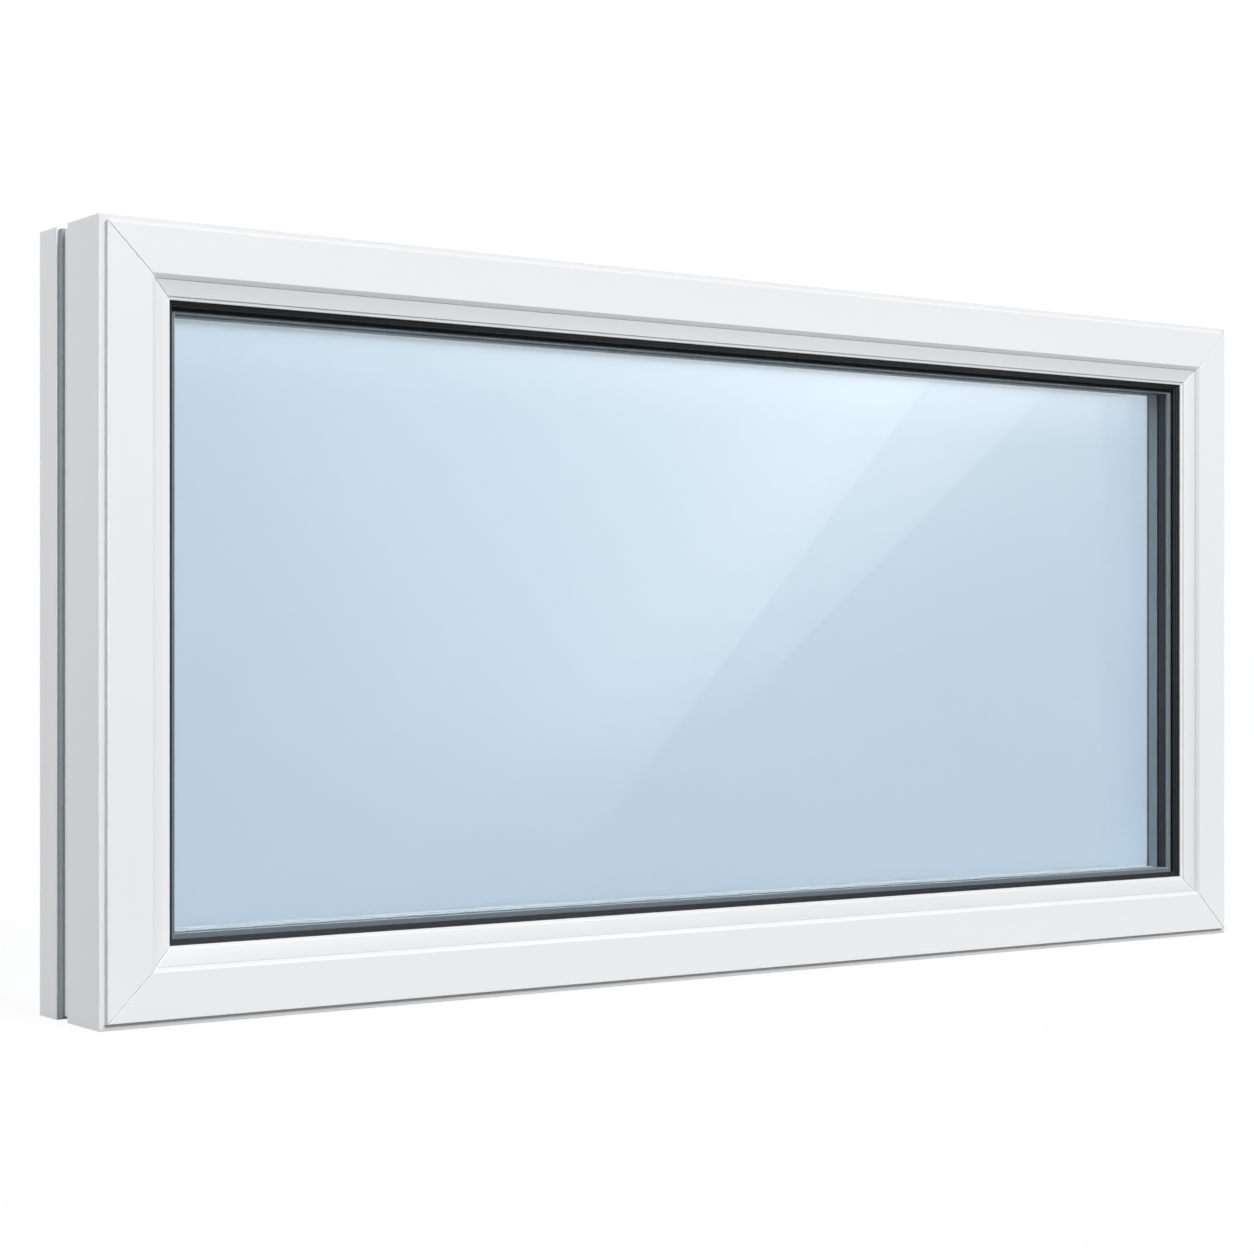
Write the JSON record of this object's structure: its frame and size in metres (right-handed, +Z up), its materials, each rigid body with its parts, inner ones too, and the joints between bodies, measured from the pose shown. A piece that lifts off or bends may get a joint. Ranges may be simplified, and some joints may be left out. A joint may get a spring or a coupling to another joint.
{
  "type": "fixed picture window",
  "caption": "Fixed picture window with a deep mitred hollow-profile frame, sloped snap-in glazing beads, black gaskets and a sealed insulating glass unit.",
  "frame": {"origin": "middle of the underside of the sill, at half the frame's depth", "axes": "+X along the width towards the right jamb seen from outside, +Y from the outside face to the room side, +Z up"},
  "size_m": [1.2, 0.115, 0.6],
  "materials": {
    "white_profile": "satin white extruded plastic",
    "black_gasket": "matt black rubber",
    "groove_seal": "matt blue-grey rubber",
    "glass": "clear, pale blue in depth",
    "spacer_bar": "satin blue-grey",
    "edge_seal": "matt black sealant",
    "glazing_block": "matt grey"
  },
  "bodies": {
    "root": {"bead_head": "white_profile", "bead_left": "white_profile", "bead_right": "white_profile", "bead_sill": "white_profile", "edge_seal_front": "edge_seal", "edge_seal_rear": "edge_seal", "frame_head": "white_profile", "frame_jamb_left": "white_profile", "frame_jamb_right": "white_profile", "frame_sill": "white_profile", "gasket_front_head": "black_gasket", "gasket_front_left": "black_gasket", "gasket_front_right": "black_gasket", "gasket_front_sill": "black_gasket", "gasket_rear_head": "black_gasket", "gasket_rear_left": "black_gasket", "gasket_rear_right": "black_gasket", "gasket_rear_sill": "black_gasket", "groove_seal_head": "groove_seal", "groove_seal_left": "groove_seal", "groove_seal_right": "groove_seal", "groove_seal_sill": "groove_seal", "location_block_left": "glazing_block", "location_block_right": "glazing_block", "pane_inner": "glass", "pane_middle": "glass", "pane_outer": "glass", "setting_block_left": "glazing_block", "setting_block_right": "glazing_block", "spacer_front": "spacer_bar", "spacer_rear": "spacer_bar"}
  },
  "joints": []
}
